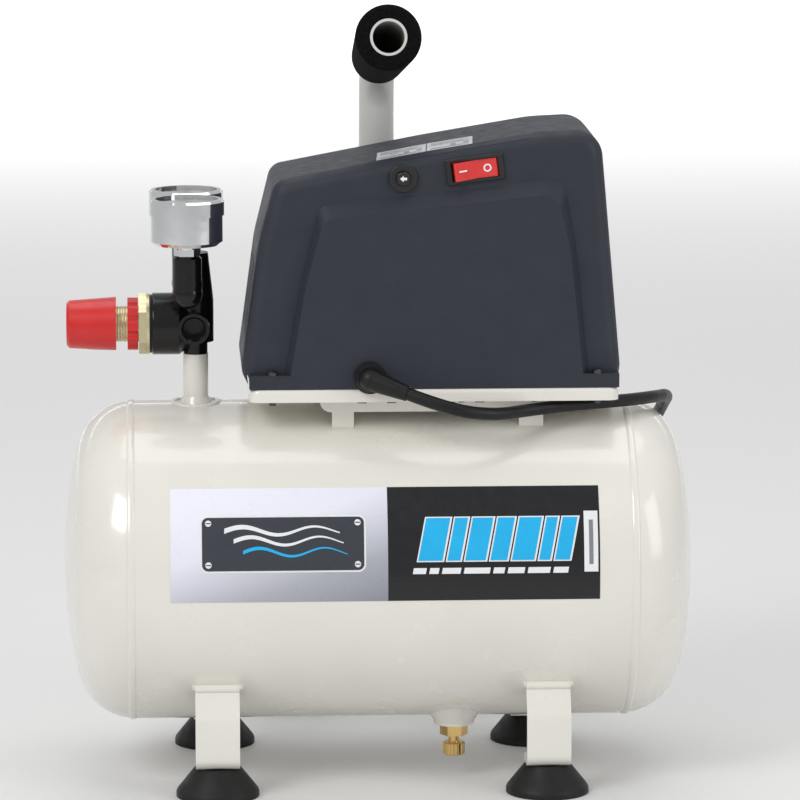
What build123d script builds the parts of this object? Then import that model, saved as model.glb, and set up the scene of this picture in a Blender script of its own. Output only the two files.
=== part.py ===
from build123d import *
from math import atan2, cos, degrees, pi, radians, sin, sqrt, tan
import os

os.makedirs("parts", exist_ok=True)

# A small oil-less workshop air compressor. +X runs along the tank to the motor's crank end,
# +Y points to the back, +Z up, and z = 0 is the floor under the suction feet.
# All sizes are in millimetres.

# Tank
tank_length = 346.0
tank_r = 88.0
tank_wall = 2.0
tank_z = 119.0
crown_r = 276.0
knuckle_r = 33.0

# Feet
foot_x = 90.0
foot_y = 63.0
cup_r = 22.6
tab_z = 17.5
strap_width = 24.0
strap_thickness = 3.0

# Platform and shroud
plate_z = 221.5
plate_sheet = 2.0
plate_x0, plate_x1 = -71.7, 128.9
plate_half_depth = 53.0
lip_height = 7.0
shroud_wall = 2.5
shroud_front = 46.0
shroud_back = 50.0
panel_proud = 6.0
rim_top = 229.0

# Carrying handle
handle_x = 2.5
handle_y = 66.0
tube_r = 9.9
tube_wall = 1.4

# Manifold, regulator and gauges
manifold_x = -101.0
gauge_x = -104.5
gauge_y = 21.5
regulator_z = 250.5
neck_foot_z = 270.0
outlet_r = 5.9

# Motor and pump
motor_z = 272.0
shaft_r = 5.0
cylinder_x = 72.0
bore_r = 21.0
crank_throw = 8.0
counterweight_r = 17.5
running = 0.05

# Valves and controls
drain_x, drain_y, drain_lift = 41.0, -26.0, 4.4
switch_tilt = 7.3
switch_x, switch_z = 50.6, 340.2
breaker_x, breaker_z = 11.9, 335.6
valve_x = 112.0
pressure_x, pressure_y = 107.0, 23.0

# Mains cord
cord_r = 3.5
coil_x, coil_y = 58.0, 184.0
coil_turn_r = 38.5
coil_layers = 3

BOTTOM = (Align.CENTER, Align.CENTER, Align.MIN)


def facing(direction, x=0.0, y=0.0, z=0.0):
    """A plane at a point, whose normal is a direction."""
    return Plane(origin=(x, y, z), z_dir=direction)


def turned(plane, *steps, mode=Mode.ADD):
    """Coaxial cylinders and cones along a plane's normal: (start, end, radius, end radius)."""
    for start, end, r0, r1 in steps:
        with Locations(plane.offset(start)):
            if r0 == r1:
                Cylinder(r0, end - start, align=BOTTOM, mode=mode)
            else:
                Cone(r0, r1, end - start, align=BOTTOM, mode=mode)


def block(x0, x1, y0, y1, z0, z1, mode=Mode.ADD):
    """A box between two corners."""
    with Locations(((x0 + x1) / 2, (y0 + y1) / 2, (z0 + z1) / 2)):
        Box(x1 - x0, y1 - y0, z1 - z0, mode=mode)


def cope_to_tank():
    """Cuts the part in progress back to the tank's cylinder."""
    turned(facing((1, 0, 0), -200, 0, tank_z), (0, 400, tank_r, tank_r), mode=Mode.SUBTRACT)


def finish(builder, name):
    builder.part.label = name
    export_step(builder.part, f"parts/{name}.step")


east = (1, 0, 0)
west = (-1, 0, 0)
front = (0, -1, 0)
back = (0, 1, 0)

# ---------------------------------------------------------------- pressure tank

head_centre = tank_length / 2 - crown_r
knuckle_centre = tank_r - knuckle_r
tangent_x = head_centre + sqrt((crown_r - knuckle_r) ** 2 - knuckle_centre**2)
crown_angle = degrees(atan2(knuckle_centre, tangent_x - head_centre))
riser_bore = 4.0

with BuildPart() as tank_shell:
    with BuildSketch(Plane.YZ.offset(-tangent_x)):
        with Locations((0, tank_z)):
            Circle(tank_r)
            Circle(tank_r - tank_wall, mode=Mode.SUBTRACT)
    extrude(amount=2 * tangent_x)
    riser_axis = facing((0, 0, 1), manifold_x + 1, 0, tank_z)
    turned(riser_axis, (0, 100, riser_bore, riser_bore), mode=Mode.SUBTRACT)
    turned(facing((0, 0, 1), valve_x, 0, tank_z), (0, 100, 7.05, 7.05), mode=Mode.SUBTRACT)
    turned(facing((0, 0, 1), pressure_x, pressure_y, tank_z), (0, 100, 6.05, 6.05), mode=Mode.SUBTRACT)
    turned(facing((0, 0, 1), drain_x, drain_y, 20), (0, 50, 4.2, 4.2), mode=Mode.SUBTRACT)
finish(tank_shell, "tank_shell")

with BuildPart() as tank_heads:
    with BuildSketch(Plane.XZ):
        with BuildLine():
            CenterArc((head_centre, tank_z), crown_r, 0, crown_angle)
            knuckle_out = CenterArc(
                (tangent_x, tank_z + knuckle_centre), knuckle_r, crown_angle, 90 - crown_angle
            )
            Line(knuckle_out @ 1, (tangent_x, tank_z + tank_r - tank_wall))
            CenterArc(
                (tangent_x, tank_z + knuckle_centre), knuckle_r - tank_wall, crown_angle, 90 - crown_angle
            )
            CenterArc((head_centre, tank_z), crown_r - tank_wall, 0, crown_angle)
            Line((tank_length / 2, tank_z), (tank_length / 2 - tank_wall, tank_z))
        make_face()
        # The raised girth weld that joins the head to the shell
        with Locations((tangent_x + 2.2, tank_z + tank_r - 0.4)):
            Ellipse(2.2, 1.0)
    revolve(axis=Axis((0, 0, tank_z), east))
    mirror(about=Plane.YZ)
finish(tank_heads, "tank_heads")

with BuildPart() as riser_pipe:
    riser_base = facing((0, 0, 1), manifold_x + 1, 0, 0)
    turned(riser_base, (203, 234, 6.9, 6.9), (200, 210.5, 12.5, 6.9))
    cope_to_tank()
    turned(riser_base, (190, 240, riser_bore, riser_bore), mode=Mode.SUBTRACT)
finish(riser_pipe, "riser_pipe")

with BuildPart() as drain_bung:
    drain_base = facing((0, 0, 1), drain_x, drain_y, drain_lift)
    turned(drain_base, (26, 42, 11.3, 11.3), (27.5, 42, 11.3, 19.0))
    cope_to_tank()
    turned(drain_base, (20, 50, 4.2, 4.2), mode=Mode.SUBTRACT)
finish(drain_bung, "drain_bung")

# ---------------------------------------------------------------- feet

with BuildPart() as leg_straps:
    for x in (-foot_x, foot_x):
        with BuildSketch(Plane.YZ.offset(x - strap_width / 2)):
            for side in (-1, 1):
                with BuildLine():
                    FilletPolyline(
                        (side * 60.5, 66),
                        (side * 74.5, 44),
                        (side * 74.5, tab_z),
                        (side * 50.5, tab_z),
                        radius=5,
                    )
                trace(line_width=strap_thickness)
                with Locations((side * 66.4, 60.2)):
                    Circle(2.4)
        extrude(amount=strap_width)
    cope_to_tank()
    with Locations(*[(x, y, tab_z) for x in (-foot_x, foot_x) for y in (-foot_y, foot_y)]):
        Cylinder(3.2, 10, mode=Mode.SUBTRACT)
finish(leg_straps, "leg_straps")

with BuildPart() as one_foot:
    with BuildSketch(Plane.XZ):
        with BuildLine():
            Polyline((0, 6.5), (0, 23.5), (5.2, 23.5), (6.6, 22.1), (6.6, 19.0), (3.1, 19.0), (3.1, 16.0))
            Polyline((3.1, 16.0), (12.2, 16.0), (13.0, 15.2), (cup_r - 1.0, 4.4))
            ThreePointArc((cup_r - 1.0, 4.4), (cup_r - 0.1, 2.8), (cup_r, 1.3))
            Polyline((cup_r, 1.3), (cup_r, 0), (cup_r - 2.6, 0))
            ThreePointArc((cup_r - 2.6, 0), (13.0, 4.6), (4.0, 6.5))
            Line((4.0, 6.5), (0, 6.5))
        make_face()
    revolve(axis=Axis.Z)

with BuildPart() as suction_feet:
    with GridLocations(2 * foot_x, 2 * foot_y, 2, 2):
        add(one_foot.part)
finish(suction_feet, "suction_feet")

# ---------------------------------------------------------------- handle

grip_slope = 10.4
grip_rise = tan(radians(grip_slope))
handle_top = 387.8
grip_front_y = -81.0
grip_back_y = 37.0
grip_direction = (0, -cos(radians(grip_slope)), sin(radians(grip_slope)))
grip_length = (grip_back_y - grip_front_y) / cos(radians(grip_slope))


def handle_height(y):
    """Height of the top tube's centre line."""
    return handle_top + (handle_y - y) * grip_rise


with BuildPart() as handle_tube:
    with BuildLine():
        FilletPolyline(
            (handle_x, handle_y, 165),
            (handle_x, handle_y, handle_top),
            (handle_x, grip_front_y, handle_height(grip_front_y)),
            radius=30,
        )
    with BuildSketch(facing((0, 0, 1), handle_x, handle_y, 165)):
        Circle(tube_r)
        Circle(tube_r - tube_wall, mode=Mode.SUBTRACT)
    sweep()
    cope_to_tank()
finish(handle_tube, "handle_tube")

with BuildPart() as handle_grip:
    grip_base = facing(grip_direction, handle_x, grip_back_y, handle_height(grip_back_y))
    turned(grip_base, (0, grip_length, 15.0, 17.8))
    fillet(handle_grip.edges().filter_by(GeomType.CIRCLE), radius=3.5)
    turned(grip_base, (-5, grip_length + 5, tube_r, tube_r), mode=Mode.SUBTRACT)
finish(handle_grip, "handle_grip")

# ---------------------------------------------------------------- platform

screw_x = (-59.0, 117.2)
front_screw_y = -49.0
rear_screw_y = 44.5
foot_screw_x = (44.0, 84.0)
foot_screw_y = (-36.0, 36.0)

with BuildPart() as mounting_plate:
    block(plate_x0, plate_x1, -plate_half_depth, plate_half_depth, plate_z - lip_height, plate_z)
    fillet(mounting_plate.edges().filter_by(Axis.Z), radius=6)
    fillet(mounting_plate.faces().sort_by(Axis.Z)[-1].edges(), radius=2.4)
    underside = mounting_plate.faces().sort_by(Axis.Z)[0]
    offset(amount=-plate_sheet, openings=underside)
    turned(facing((0, 0, 1), valve_x, 0, 0), (200, 240, 9, 9), mode=Mode.SUBTRACT)
    turned(facing((0, 0, 1), pressure_x, pressure_y, 0), (200, 240, 8, 8), mode=Mode.SUBTRACT)
    with Locations(*[(x, y, plate_z) for x in screw_x for y in (front_screw_y, rear_screw_y)]):
        Cylinder(1.95, 20, mode=Mode.SUBTRACT)
    with Locations(*[(x, y, plate_z) for x in foot_screw_x for y in foot_screw_y]):
        Cylinder(2.45, 20, mode=Mode.SUBTRACT)
finish(mounting_plate, "mounting_plate")

web_z = plate_z - plate_sheet
bracket_x0, bracket_x1 = -33.0, 94.0
bracket_y = 38.0
bracket_bottom = 206.7
bracket_leg_x = ((-26.4, -14.5), (75.5, 88.8))

with BuildPart() as plate_bracket:
    block(bracket_x0, bracket_x1, -bracket_y, bracket_y, bracket_bottom, web_z)
    with BuildSketch(Plane.XZ.offset(bracket_y)):
        with Locations((bracket_x0, bracket_bottom)):
            Rectangle(12, 12)
        with Locations((bracket_x0 + 6, bracket_bottom + 6)):
            Circle(6, mode=Mode.SUBTRACT)
    extrude(amount=-2 * bracket_y, mode=Mode.SUBTRACT)
    block(
        bracket_x0 - 1, bracket_x1 + 1,
        -bracket_y + plate_sheet, bracket_y - plate_sheet,
        bracket_bottom - 1, web_z - plate_sheet,
        mode=Mode.SUBTRACT,
    )
    for x0, x1 in bracket_leg_x:
        for y in (-bracket_y, bracket_y - plate_sheet):
            block(x0, x1, y, y + plate_sheet, 185, bracket_bottom)
    cope_to_tank()
    # Short slots along each flange
    with Locations(*[(x, 0, 212.2) for x in (-10, 6, 22, 38, 54)]):
        Box(5, 100, 1.6, mode=Mode.SUBTRACT)
    with Locations(*[(x, y, plate_z) for x in foot_screw_x for y in foot_screw_y]):
        Cylinder(2.45, 20, mode=Mode.SUBTRACT)
finish(plate_bracket, "plate_bracket")

# ---------------------------------------------------------------- shroud

# Outline seen from the front, from the lower left corner round by the top
shroud_outline = [
    (-71.5, plate_z),
    (-75.8, 230.0),
    (-66.8, 296.0),
    (-57.5, 333.5),
    (26.5, 349.5),
    (86.0, 359.5),
    (119.0, 361.0),
    (130.4, 232.0),
    (129.0, plate_z),
]
shroud_rounds = [0.5, 12, 60, 9, 120, 90, 15, 12, 0.5]
# The raised front panel, where it leaves the shell and at its front face
panel_foot = [
    (-54.0, 222.0),
    (-44.3, 278.0),
    (-33.5, 321.5),
    (99.2, 335.5),
    (106.0, 297.7),
    (113.6, 222.0),
]
panel_face = [
    (-50.4, 222.0),
    (-40.8, 278.0),
    (-31.0, 314.0),
    (94.9, 327.3),
    (102.0, 297.0),
    (110.0, 222.0),
]
panel_rounds = [0.5, 150, 8, 10, 150, 0.5]


def inward(points, gap):
    """The same outline moved inwards by a wall's thickness, open at the bottom."""
    middle_x = sum(x for x, z in points) / len(points)
    moved = []
    for x, z in points:
        side = 1 if x < middle_x else -1
        low = z < plate_z + 1
        moved.append((x + side * gap, z - 10 if low else z - gap))
    return moved


with BuildPart() as shroud:
    with BuildSketch(Plane.XZ.offset(shroud_front)):
        with BuildLine():
            FilletPolyline(*shroud_outline, radius=shroud_rounds, close=True)
        make_face()
    extrude(amount=-(shroud_front + shroud_back))
    fillet(shroud.faces().sort_by(Axis.Y)[0].edges().filter_by(lambda e: e.center().Z > 235), radius=8)
    fillet(shroud.faces().sort_by(Axis.Y)[-1].edges().filter_by(lambda e: e.center().Z > 235), radius=9)
    for depth, outline in ((shroud_front - 0.5, panel_foot), (shroud_front + panel_proud, panel_face)):
        with BuildSketch(Plane.XZ.offset(depth)):
            with BuildLine():
                FilletPolyline(*outline, radius=panel_rounds, close=True)
            make_face()
    loft(ruled=True)
    with Locations(((shroud_outline[0][0] + 129) / 2, -(shroud_front + panel_proud) / 2, plate_z)):
        Box(129 - shroud_outline[0][0], shroud_front + panel_proud, rim_top - plate_z, align=BOTTOM)
    # Hollow inside
    with BuildSketch(Plane.XZ.offset(shroud_front - shroud_wall)):
        with BuildLine():
            FilletPolyline(*inward(shroud_outline, shroud_wall), radius=shroud_rounds, close=True)
        make_face()
    extrude(amount=-(shroud_front + shroud_back - 2 * shroud_wall), mode=Mode.SUBTRACT)
    with BuildSketch(Plane.XZ.offset(shroud_front - shroud_wall - 1)):
        with BuildLine():
            FilletPolyline(*inward(panel_face, shroud_wall), radius=panel_rounds, close=True)
        make_face()
    extrude(amount=panel_proud + 1, mode=Mode.SUBTRACT)
    block(
        -68.5, 126.0,
        -(shroud_front + panel_proud - shroud_wall), 0,
        plate_z - 1, rim_top - shroud_wall,
        mode=Mode.SUBTRACT,
    )
    # Screw posts
    with Locations(*[(x, rear_screw_y, plate_z) for x in screw_x]):
        Cylinder(4.5, 16, align=BOTTOM)
    with Locations(*[(x, front_screw_y, plate_z) for x in screw_x]):
        Cylinder(3.0, rim_top - plate_z, align=BOTTOM)
    with Locations(*[(x, y, plate_z) for x in screw_x for y in (front_screw_y, rear_screw_y)]):
        Cylinder(1.95, 24, mode=Mode.SUBTRACT)
    # Openings for the switch, the breaker and the cord
    switch_face = Plane(
        origin=(switch_x, -shroud_front, switch_z),
        x_dir=(cos(radians(switch_tilt)), 0, sin(radians(switch_tilt))),
        z_dir=front,
    )
    with Locations(switch_face):
        Box(27.2, 12.2, 16, mode=Mode.SUBTRACT)
    turned(facing(front, breaker_x, 0, breaker_z), (40, 55, 5.1, 5.1), mode=Mode.SUBTRACT)
    turned(facing(front, -6.4, 0, 228.0), (40, 60, 5.6, 5.6), mode=Mode.SUBTRACT)
    # Cooling slots at the back and at the fan end
    with BuildSketch(Plane.XZ.offset(-shroud_back - 5)):
        with Locations((4, 274)):
            with GridLocations(13, 0, 9, 1):
                SlotOverall(46, 5, rotation=90)
    extrude(amount=14, mode=Mode.SUBTRACT)
    with BuildSketch(Plane.YZ.offset(-90)):
        with Locations((4, 268)):
            with GridLocations(12, 0, 6, 1):
                SlotOverall(40, 4.5, rotation=90)
    extrude(amount=35, mode=Mode.SUBTRACT)
finish(shroud, "shroud")

with BuildPart() as shroud_fasteners:
    for x in screw_x:
        # Front screws go down through the rim into clip nuts, rear ones up into posts
        turned(
            facing((0, 0, 1), x, front_screw_y, 0),
            (212.5, rim_top, 1.85, 1.85),
            (rim_top, rim_top + 1.6, 2.85, 2.85),
            (rim_top + 1.6, rim_top + 2.4, 2.85, 1.6),
        )
        with Locations((x, front_screw_y + 1.0, 216.9)):
            Box(7, 5.6, 5.1)
        turned(
            facing((0, 0, 1), x, rear_screw_y, 0),
            (219.5, 233, 1.85, 1.85), (217.9, 219.5, 2.85, 2.85), (217.1, 217.9, 1.6, 2.85),
        )
finish(shroud_fasteners, "shroud_fasteners")

# ---------------------------------------------------------------- switch and breaker

rocker_throw = 19.0
pivot_r = 1.2
rocker_pivot = Plane(origin=switch_face.offset(-2).origin, x_dir=switch_face.x_dir, z_dir=-switch_face.y_dir)

with BuildPart() as switch_housing:
    with Locations(switch_face):
        Box(31, 14, 2, align=BOTTOM)
    fillet(switch_housing.faces().sort_by(Axis.Y)[0].edges(), radius=0.6)
    with Locations(switch_face.offset(-14)):
        Box(26.8, 11.8, 14, align=BOTTOM)
    with Locations(switch_face.offset(-8)):
        Box(25.6, 10.6, 20, align=BOTTOM, mode=Mode.SUBTRACT)
    with Locations(switch_face.offset(-18)):
        with Locations((-8, 0, 0), (0, 0, 0), (8, 0, 0)):
            Box(0.8, 4.8, 4, align=BOTTOM)
    turned(rocker_pivot, (-7, 7, pivot_r + running, pivot_r + running), mode=Mode.SUBTRACT)
finish(switch_housing, "switch_housing")

with BuildPart() as switch_rocker:
    rocker_plane = rocker_pivot.rotated((0, 0, rocker_throw / 2))
    with BuildSketch(rocker_plane.offset(-5)):
        with BuildLine():
            Polyline((-12, -1), (-12, 4.6), (-11.2, 5.2), (0, 3.2), (11.2, 5.2), (12, 4.6))
            Polyline((12, 4.6), (12, -1), (3, -4.4), (-3, -4.4), (-12, -1))
        make_face()
    extrude(amount=10)
    fillet(switch_rocker.edges().filter_by(lambda e: abs(e.length - 10) < 0.01).group_by(Axis.Y)[0], radius=0.4)
    turned(rocker_pivot, (-5.8, 5.8, pivot_r, pivot_r))
finish(switch_rocker, "switch_rocker")

breaker_face = facing(front, breaker_x, -shroud_front, breaker_z)

with BuildPart() as breaker_body:
    turned(breaker_face, (0, 2.6, 7.75, 7.75), (-2.5, 0, 5.0, 5.0))
    fillet(breaker_body.faces().sort_by(Axis.Y)[0].edges(), radius=0.7)
    with Locations(breaker_face.offset(-2.5)):
        Box(13, 13, 19, align=(Align.CENTER, Align.CENTER, Align.MAX))
    turned(breaker_face, (-10, 10, 4.1, 4.1), mode=Mode.SUBTRACT)
finish(breaker_body, "breaker_body")

with BuildPart() as reset_button:
    turned(breaker_face, (-6, 4.6, 3.8, 3.8))
    fillet(reset_button.faces().sort_by(Axis.Y)[0].edges(), radius=0.6)
finish(reset_button, "reset_button")

# ---------------------------------------------------------------- manifold and regulator

with BuildPart() as manifold_body:
    column = facing((0, 0, 1), manifold_x, 0, 0)
    turned(column, (241, 264, 11.0, 11.0), (264, 290, 11.0, 8.2))
    turned(facing((0, 0, 1), manifold_x + 1, 0, 0), (234, 241, 6.6, 6.6))
    barrel = facing(west, manifold_x, 0, regulator_z)
    turned(barrel, (0, 8, 11.2, 17.0), (8, 23, 17.0, 17.0))
    # Arm between the two gauge necks
    turned(facing(front, gauge_x + 1, gauge_y, neck_foot_z + 5), (0, 2 * gauge_y, 7.6, 7.6))
    for side in (-1, 1):
        neck = facing((0, 0, 1), gauge_x, side * gauge_y, 0)
        turned(neck, (neck_foot_z, 289.5, 8.0, 8.0), (289.5, 291, 8.0, 6.6))
        with Locations((gauge_x, side * gauge_y, neck_foot_z)):
            Sphere(8.3)
    # Ports: outlet to the front, safety valve to the back
    turned(facing(front, manifold_x, 0, 250), (0, 20, 8.6, 8.6))
    turned(facing(back, manifold_x, 0, 250), (0, 18, 8.0, 8.0))
    fillet(manifold_body.edges().filter_by(lambda e: abs(e.center().X - (manifold_x - 23)) < 0.1), radius=1.2)
    turned(facing((0, 0, 1), manifold_x + 1, 0, 0), (230, 278, riser_bore, riser_bore), mode=Mode.SUBTRACT)
    turned(facing(front, gauge_x, gauge_y - 1, 276), (0, 2 * gauge_y - 2, 3.0, 3.0), mode=Mode.SUBTRACT)
    for side in (-1, 1):
        turned(facing((0, 0, 1), gauge_x, side * gauge_y, 0), (272, 292, 3.95, 3.95), mode=Mode.SUBTRACT)
    turned(facing(front, manifold_x, -8, 250), (0, 11, outlet_r, outlet_r), mode=Mode.SUBTRACT)
    turned(facing(front, manifold_x, -19, 250), (0, 1.2, outlet_r, 7.0), mode=Mode.SUBTRACT)
    turned(facing(back, manifold_x, 6, 250), (0, 13, 4.5, 4.5), mode=Mode.SUBTRACT)
    turned(facing(back, manifold_x, 2, 250), (0, 6, 2.5, 2.5), mode=Mode.SUBTRACT)
    # Valve seat on the regulator's axis, and the regulated side's way to the outlet
    turned(barrel, (17, 24, 13.0, 13.0), (0, 24, 2.5, 2.5), mode=Mode.SUBTRACT)
    turned(facing(west, manifold_x, -11, 250), (0, 18, 1.8, 1.8), mode=Mode.SUBTRACT)
finish(manifold_body, "manifold_body")

barrel_end = manifold_x - 23
west_line = facing(west, 0, 0, regulator_z)
hex_front, hex_back = 125.2, 131.0
thread_pitch = 1.5

with BuildPart() as diaphragm:
    turned(west_line, (-barrel_end, hex_front, 16.0, 16.0), (-barrel_end + 1.2, hex_front + 2.0, 9.0, 9.0))
finish(diaphragm, "diaphragm")

with BuildPart() as regulator_bonnet:
    with BuildSketch(west_line.offset(hex_front)):
        RegularPolygon(14.5, 6, major_radius=False)
    extrude(amount=hex_back - hex_front)
    turned(west_line, (hex_front, hex_front + 1.6, 16.7, 16.7), (hex_back, 156.8, 9.85, 9.85))
    for turn in range(11):
        with Locations(west_line.offset(138.4 + thread_pitch * turn)):
            Torus(9.95, 0.45, mode=Mode.SUBTRACT)
    turned(west_line, (hex_front - 1, hex_front + 4.0, 13.0, 13.0), (120, 160, 7.0, 7.0), mode=Mode.SUBTRACT)
finish(regulator_bonnet, "regulator_bonnet")

with BuildPart() as lock_ring:
    turned(west_line, (131.4, 137.2, 14.4, 14.4))
    with Locations(west_line.offset(130)):
        with PolarLocations(16.2, 10):
            Cylinder(3.2, 10, align=BOTTOM, mode=Mode.SUBTRACT)
    turned(west_line, (130, 140, 10.2, 10.2), mode=Mode.SUBTRACT)
finish(lock_ring, "lock_ring")

knob_start, knob_end = 143.5, 170.6
knob_taper = degrees(atan2(1.8, knob_end - knob_start))

with BuildPart() as regulator_knob:
    turned(west_line, (knob_start, knob_end - 1.6, 14.9, 13.1), (knob_end - 1.6, knob_end, 13.1, 11.6))
    # Flutes between flat ribs, run out before the collar at the knob's foot
    for rib in range(18):
        groove = west_line.offset(knob_start + 3.5).rotated((0, 0, rib * 20))
        with Locations(groove.location * Location((15.5, 0, 0), (0, -knob_taper, 0))):
            Cylinder(1.55, 26, align=BOTTOM, mode=Mode.SUBTRACT)
    turned(west_line, (knob_start - 1, 161, 10.2, 10.2), mode=Mode.SUBTRACT)
    turned(west_line, (153, 165, 3.0, 3.0))
    turned(west_line, (knob_end - 0.8, knob_end + 1, 7.5, 7.5), mode=Mode.SUBTRACT)
finish(regulator_knob, "regulator_knob")

with BuildPart() as adjuster_button:
    turned(west_line, (151, 153, 6.65, 6.65), (148.5, 151, 3.4, 3.4))
finish(adjuster_button, "adjuster_button")

spring_wire = 0.75
spring_r = 5.2

with BuildPart() as regulator_spring:
    with BuildLine() as spring_line:
        Helix(pitch=3.6, height=18.4, radius=spring_r, center=(-150.2, 0, regulator_z), direction=east)
    with BuildSketch(Plane(origin=spring_line.line @ 0, z_dir=spring_line.line % 0)):
        Circle(spring_wire)
    sweep(is_frenet=True)
finish(regulator_spring, "regulator_spring")

safety_line = facing(back, manifold_x, 0, 250)

with BuildPart() as safety_valve_body:
    turned(safety_line, (11, 18, 4.4, 4.4), (24, 38, 5.0, 5.0), (38, 39.5, 5.0, 3.6))
    with BuildSketch(safety_line.offset(18)):
        RegularPolygon(6.0, 6, major_radius=False)
    extrude(amount=6)
    turned(safety_line, (10, 27, 1.6, 1.6), (27, 42, 1.6, 1.6), mode=Mode.SUBTRACT)
finish(safety_valve_body, "safety_valve_body")

with BuildPart() as safety_valve_ring:
    turned(safety_line, (29, 45, 1.25, 1.25), (40.2, 41.4, 3.2, 3.2))
    with Locations(Plane(origin=(manifold_x, 51, 250), z_dir=(1, 0, 0))):
        Torus(6.6, 0.9)
finish(safety_valve_ring, "safety_valve_ring")

# ---------------------------------------------------------------- gauges

needle_lift = 315.0
gauge_planes = [facing((0, 0, 1), gauge_x, side * gauge_y, 0) for side in (-1, 1)]

with BuildPart() as gauge_cases:
    for plane in gauge_planes:
        turned(plane, (299, 313.5, 19.6, 19.6), (297, 299, 17.4, 19.6))
    for plane in gauge_planes:
        turned(plane, (300, 314, 16.6, 16.6), mode=Mode.SUBTRACT)
        turned(plane, (281, 291, 3.9, 3.9), (294.6, 297, 6.5, 7.6))
    for side in (-1, 1):
        with BuildSketch(facing((0, 0, 1), gauge_x, side * gauge_y, 291)):
            RegularPolygon(6.3, 6, major_radius=False)
        extrude(amount=4)
finish(gauge_cases, "gauge_cases")

with BuildPart() as gauge_bezels:
    for plane in gauge_planes:
        turned(plane, (313.5, 320.8, 20.5, 20.5), (320.8, 322, 20.5, 19.3))
    for plane in gauge_planes:
        turned(plane, (313, 320.7, 17.9, 17.9), (320.7, 323, 17.0, 17.0), mode=Mode.SUBTRACT)
finish(gauge_bezels, "gauge_bezels")

with BuildPart() as gauge_lenses:
    for plane in gauge_planes:
        turned(plane, (319.2, 320.7, 17.85, 17.85))
finish(gauge_lenses, "gauge_lenses")

with BuildPart() as gauge_dials:
    for plane in gauge_planes:
        turned(plane, (313.5, 314.1, 17.7, 17.7))
        turned(plane, (313, 315, 0.9, 0.9), mode=Mode.SUBTRACT)
finish(gauge_dials, "gauge_dials")

for name, plane in zip(("outlet_needle", "tank_needle"), gauge_planes):
    with BuildPart() as needle:
        turned(plane, (306, needle_lift + 0.2, 0.5, 0.5), (needle_lift, needle_lift + 1.6, 2.0, 1.7))
        with BuildSketch(plane.offset(needle_lift + 0.3).rotated((0, 0, 225))):
            with BuildLine():
                Polyline((-5, -1.3), (-5, 1.3), (0, 0.9), (13.6, 0.25), (13.6, -0.25), (0, -0.9), close=True)
            make_face()
        extrude(amount=0.6)
    finish(needle, name)

# ---------------------------------------------------------------- drain valve

with BuildPart() as drain_valve_body:
    with BuildSketch(drain_base.offset(19.5)):
        RegularPolygon(6.65, 6, major_radius=False)
    extrude(amount=6.5)
    turned(drain_base, (26, 37, 4.15, 4.15))
    turned(drain_base, (19, 30, 3.3, 3.3), (30, 38, 1.4, 1.4), mode=Mode.SUBTRACT)
finish(drain_valve_body, "drain_valve_body")

with BuildPart() as drain_thumb_screw:
    turned(drain_base, (8.2, 9.0, 5.3, 6.1), (9.0, 14.7, 6.1, 6.1))
    turned(drain_base, (14.7, 15.5, 6.1, 5.3), (15.5, 27.0, 3.0, 3.0))
    with Locations(drain_base.offset(8)):
        with PolarLocations(6.35, 20):
            Cylinder(0.55, 8, align=BOTTOM, mode=Mode.SUBTRACT)
finish(drain_thumb_screw, "drain_thumb_screw")

with BuildPart() as drain_seal:
    turned(drain_base, (27.0, 30.0, 2.7, 2.7))
finish(drain_seal, "drain_seal")

# ---------------------------------------------------------------- motor

axle = facing(east, 0, 0, motor_z)
bolt_circle = 35.8

with BuildPart() as motor_stator:
    turned(axle, (-22, 18, 40, 40))
    turned(axle, (-23, 19, 22.5, 22.5), mode=Mode.SUBTRACT)
    with Locations(axle.offset(-23)):
        with PolarLocations(bolt_circle, 4, start_angle=45):
            Cylinder(1.9, 45, align=BOTTOM, mode=Mode.SUBTRACT)
        with PolarLocations(22.5, 16):
            Box(6, 2.2, 45, align=(Align.CENTER, Align.CENTER, Align.MIN), mode=Mode.SUBTRACT)
finish(motor_stator, "motor_stator")

with BuildPart() as motor_windings:
    turned(axle, (-33, -22, 32, 33), (18, 29, 33, 32))
    turned(axle, (-40, 40, 24.5, 24.5), mode=Mode.SUBTRACT)
    winding_ends = motor_windings.edges().filter_by(lambda e: abs(e.center().X + 2) > 30.9)
    fillet(winding_ends, radius=2.5)
finish(motor_windings, "motor_windings")

with BuildPart() as motor_rotor:
    turned(axle, (-23, 19, 22, 22))
    turned(axle, (-24, 20, shaft_r, shaft_r), mode=Mode.SUBTRACT)
finish(motor_rotor, "motor_rotor")

with BuildPart() as motor_shaft:
    turned(axle, (-64, 62, shaft_r, shaft_r))
finish(motor_shaft, "motor_shaft")

with BuildPart() as cooling_fan:
    turned(axle, (-62, -50.5, 9.5, 9.5))
    with Locations(axle.offset(-56.2)):
        with PolarLocations(20.0, 7):
            Box(24, 1.8, 12, rotation=(32, 0, 0))
    turned(axle, (-70, -40, shaft_r, shaft_r), mode=Mode.SUBTRACT)
finish(cooling_fan, "cooling_fan")

with BuildPart() as shaft_bearings:
    turned(axle, (-46, -39, 8, 8), (41, 49, 8, 8))
    turned(axle, (-50, 50, shaft_r + running, shaft_r + running), mode=Mode.SUBTRACT)
finish(shaft_bearings, "shaft_bearings")

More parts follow.
